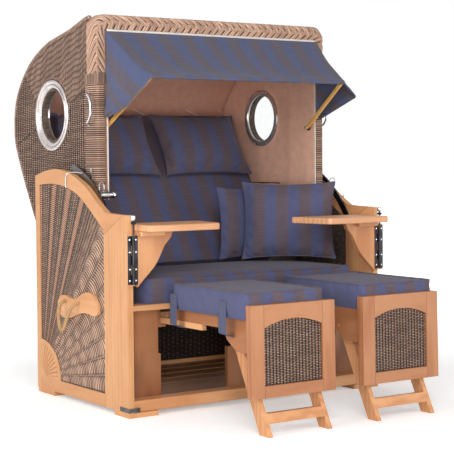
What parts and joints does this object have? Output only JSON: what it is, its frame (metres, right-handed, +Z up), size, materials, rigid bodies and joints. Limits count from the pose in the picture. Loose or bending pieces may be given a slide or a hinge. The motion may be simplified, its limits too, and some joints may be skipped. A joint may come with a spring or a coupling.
{
  "type": "hooded beach chair",
  "caption": "Two-seat wicker beach chair with reclining hood, awning, striped cushions, swivel side tables and pull-out foot rests with folding legs.",
  "frame": {"origin": "middle of the box round the whole chair, on the floor", "axes": "+Z up, the seat faces -Y, +X to the right seen from the front"},
  "size_m": [1.394, 1.729, 1.603],
  "materials": {
    "teak": "oiled, satin",
    "wicker": "woven flat strand",
    "striped_cloth": "woven, striped",
    "lining_cloth": "woven, matte",
    "polished_steel": "polished",
    "dark_steel": "satin black",
    "clear_pane": "clear",
    "rope_fibre": "laid rope"
  },
  "bodies": {
    "base": {"side_frame_l": "teak", "side_frame_r": "teak", "side_wicker_l": "wicker", "side_wicker_r": "wicker", "handle_block_l": "teak", "handle_block_r": "teak", "corner_strap_l": "polished_steel", "corner_strap_r": "polished_steel", "hinge_fixed_l": "dark_steel", "hinge_fixed_r": "dark_steel", "lock_rail_l": "polished_steel", "lock_rail_r": "polished_steel", "rope_l": "rope_fibre", "rope_r": "rope_fibre", "front_crossbar": "teak", "front_boards": "teak", "seat_front_rail": "teak", "rear_panel": "wicker", "floor_deck": "teak", "seat_deck": "teak", "seat_cushion": "striped_cloth", "scatter_cushion": "striped_cloth", "spare_cushion": "striped_cloth"},
    "hood": {"hood_border": "wicker", "hood_band": "wicker", "hood_side_l": "wicker", "hood_side_r": "wicker", "porthole_ring_l": "polished_steel", "porthole_ring_r": "polished_steel", "porthole_pane_l": "clear_pane", "porthole_pane_r": "clear_pane", "hood_lining": "lining_cloth", "back_board": "teak", "back_cushion": "striped_cloth", "headrest_l": "striped_cloth", "headrest_r": "striped_cloth", "grab_handle_l": "polished_steel", "grab_handle_r": "polished_steel", "lock_bracket_l": "polished_steel", "lock_bracket_r": "polished_steel", "awning_cloth": "striped_cloth"},
    "awning_frame": {"awning_bow": "teak"},
    "lock_l": {"lock_pin_l": "polished_steel"},
    "lock_r": {"lock_pin_r": "polished_steel"},
    "table_l": {"table_top_l": "teak", "table_bracket_l": "teak", "hinge_moving_l": "dark_steel"},
    "table_r": {"table_top_r": "teak", "table_bracket_r": "teak", "hinge_moving_r": "dark_steel"},
    "runner_l": {"footrest_runner_l": "teak"},
    "runner_r": {"footrest_runner_r": "teak"},
    "footrest_l": {"footrest_frame_l": "teak", "footrest_wicker_l": "wicker", "footrest_cushion_l": "striped_cloth"},
    "footrest_r": {"footrest_frame_r": "teak", "footrest_wicker_r": "wicker", "footrest_cushion_r": "striped_cloth"},
    "leg_l": {"leg_frame_l": "teak"},
    "leg_r": {"leg_frame_r": "teak"}
  },
  "joints": [
    {"name": "hood_recline", "type": "hinge", "parent": "base", "child": "hood", "pos_m": [0, 0.3705, 0.47], "axis": [-1, 0, 0], "range_deg": [-20, 25]},
    {"name": "awning_tilt", "type": "hinge", "parent": "hood", "child": "awning_frame", "pos_m": [0, 0.1005, 1.15], "axis": [-1, 0, 0], "range_deg": [0, 50], "deforming": ["awning_cloth"]},
    {"name": "lock_slide_l", "type": "slide", "parent": "hood", "child": "lock_l", "axis": [1, 0, 0], "range_m": [0, 0.01], "stiffness_N_per_m": 800, "springref_m": -0.01},
    {"name": "table_swing_l", "type": "hinge", "parent": "base", "child": "table_l", "pos_m": [-0.622, -0.281, 0.62], "axis": [0, 0, -1], "range_deg": [0, 180]},
    {"name": "runner_slide_l", "type": "slide", "parent": "base", "child": "runner_l", "axis": [0, 1, 0], "range_m": [0, 0.035]},
    {"name": "footrest_lift_l", "type": "hinge", "parent": "runner_l", "child": "footrest_l", "pos_m": [-0.26, -0.2695, 0.4], "axis": [-1, 0, 0], "range_deg": [0, 10]},
    {"name": "leg_fold_l", "type": "hinge", "parent": "footrest_l", "child": "leg_l", "pos_m": [-0.26, -0.6545, 0.352], "axis": [1, 0, 0], "range_deg": [0, 115]},
    {"name": "lock_slide_r", "type": "slide", "parent": "hood", "child": "lock_r", "axis": [-1, 0, 0], "range_m": [0, 0.01], "stiffness_N_per_m": 800, "springref_m": -0.01},
    {"name": "table_swing_r", "type": "hinge", "parent": "base", "child": "table_r", "pos_m": [0.622, -0.281, 0.62], "axis": [0, 0, 1], "range_deg": [0, 180]},
    {"name": "runner_slide_r", "type": "slide", "parent": "base", "child": "runner_r", "axis": [0, 1, 0], "range_m": [0, 0.035]},
    {"name": "footrest_lift_r", "type": "hinge", "parent": "runner_r", "child": "footrest_r", "pos_m": [0.26, -0.2695, 0.4], "axis": [-1, 0, 0], "range_deg": [0, 10]},
    {"name": "leg_fold_r", "type": "hinge", "parent": "footrest_r", "child": "leg_r", "pos_m": [0.26, -0.6545, 0.352], "axis": [1, 0, 0], "range_deg": [0, 115]}
  ]
}
